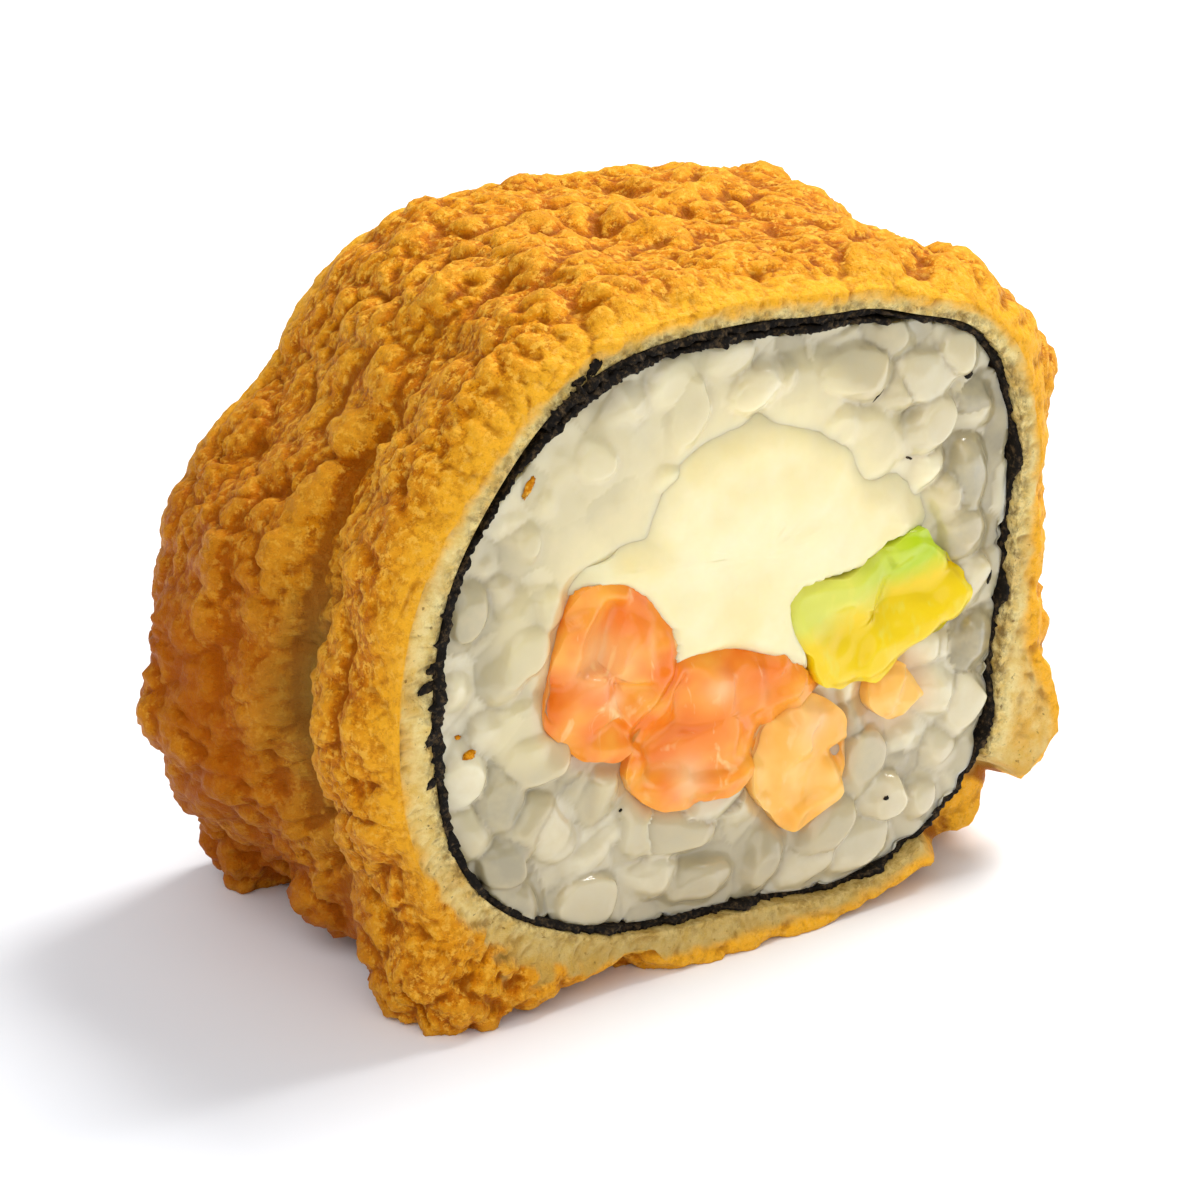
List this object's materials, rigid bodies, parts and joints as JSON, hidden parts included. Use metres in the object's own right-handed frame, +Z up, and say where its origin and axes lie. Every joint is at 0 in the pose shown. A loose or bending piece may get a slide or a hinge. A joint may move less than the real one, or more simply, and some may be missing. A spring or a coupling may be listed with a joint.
{
  "type": "fried sushi roll piece",
  "caption": "Cut piece of a battered and deep-fried sushi roll on its side: crusty coat round a nori wrap, sushi rice and a filling of salmon, cream cheese and cucumber.",
  "frame": {"origin": "middle of the underside of the bounding box", "axes": "+Z up, +X across the roll to the right as the front cut is seen, +Y along the roll's axis from the front cut to the back"},
  "size_m": [0.05, 0.0276, 0.0407],
  "materials": {
    "coat": "golden fried batter, craggy, slightly oily",
    "nori": "damp black-green seaweed, torn at the cuts",
    "rice": "moist translucent grains",
    "cream_cheese": "smooth and creamy",
    "cucumber": "wet green-yellow flesh",
    "salmon": "wet orange flesh with pale marbling"
  },
  "bodies": {
    "root": {"coat": "coat", "nori": "nori", "rice": "rice", "cream_cheese": "cream_cheese", "cucumber": "cucumber", "salmon_left": "salmon", "salmon_middle": "salmon", "salmon_right": "salmon", "salmon_small": "salmon"}
  },
  "joints": []
}
